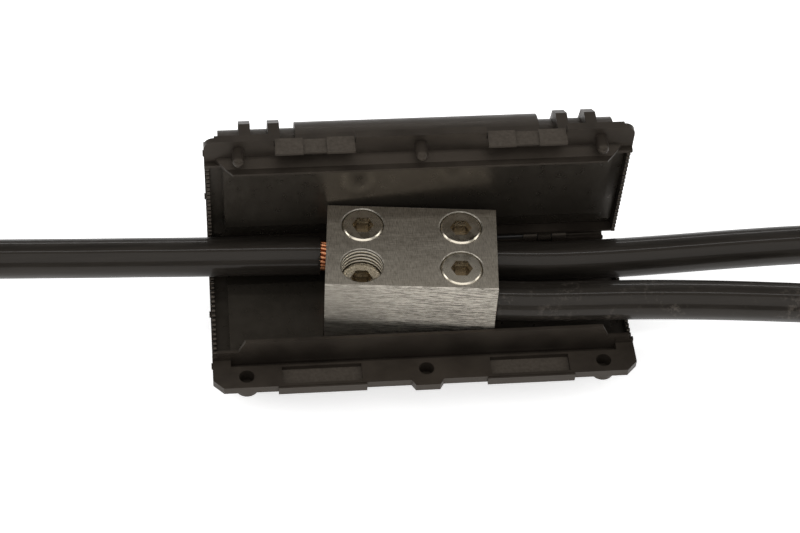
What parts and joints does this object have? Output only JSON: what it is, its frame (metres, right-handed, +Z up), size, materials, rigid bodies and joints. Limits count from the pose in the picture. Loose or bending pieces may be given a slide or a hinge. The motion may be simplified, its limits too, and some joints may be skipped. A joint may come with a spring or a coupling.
{
  "type": "gel tap splice connector",
  "caption": "Hinged two-part splice closure filled with gel, lying open, with a bored tap block whose set screws clamp heavy stranded cables.",
  "frame": {"origin": "middle of the flat underside of the base, on the surface that it lies on", "axes": "+X along the cables, towards the end with two cables; +Y from the latch side towards the hinge; +Z up"},
  "size_m": [0.3722, 0.0987, 0.1025],
  "materials": {
    "shell": "satin moulded black plastic",
    "rod": "plain black plastic rod",
    "gel": "glossy dark sealing gel",
    "fingers": "soft black fingers",
    "block": "sawn and brushed",
    "screw": "bright plated",
    "conductor": "bare stranded copper",
    "jacket": "glossy extruded black jacket"
  },
  "bodies": {
    "base": {"base_shell": "shell", "base_gel": "gel", "base_left_fingers": "fingers", "base_right_fingers": "fingers", "hinge_rod": "rod"},
    "cover": {"cover_shell": "shell", "cover_gel": "gel", "cover_left_fingers": "fingers", "cover_right_fingers": "fingers"},
    "splice": {"splice_block": "block", "left_conductor": "conductor", "rear_right_conductor": "conductor", "front_right_conductor": "conductor", "left_cable": "jacket", "rear_right_cable": "jacket", "front_right_cable": "jacket"},
    "rear_left_screw": {"rear_left_screw": "screw"},
    "front_left_screw": {"front_left_screw": "screw"},
    "rear_right_screw": {"rear_right_screw": "screw"},
    "front_right_screw": {"front_right_screw": "screw"}
  },
  "joints": [
    {"name": "cover_hinge", "type": "hinge", "parent": "base", "child": "cover", "pos_m": [0, 0.03, 0.0305], "axis": [1, 0, 0], "range_deg": [0, 86.4], "deforming": ["cover_gel", "cover_left_fingers", "cover_right_fingers"]},
    {"name": "splice_sink", "type": "slide", "parent": "base", "child": "splice", "axis": [0, 0, 1], "range_m": [-0.0155, 0], "deforming": ["base_gel", "base_left_fingers", "base_right_fingers"]},
    {"name": "rear_left_screw_travel", "type": "slide", "parent": "splice", "child": "rear_left_screw", "axis": [0, 0, 1], "range_m": [0, 0.0055]},
    {"name": "front_left_screw_travel", "type": "slide", "parent": "splice", "child": "front_left_screw", "axis": [0, 0, 1], "range_m": [0, 0.0135]},
    {"name": "rear_right_screw_travel", "type": "slide", "parent": "splice", "child": "rear_right_screw", "axis": [0, 0, 1], "range_m": [0, 0.0055]},
    {"name": "front_right_screw_travel", "type": "slide", "parent": "splice", "child": "front_right_screw", "axis": [0, 0, 1], "range_m": [0, 0.0055]}
  ],
  "couplings": [
    {"joint": "splice_sink", "follows": "cover_hinge", "m_per_rad": -0.01027}
  ]
}
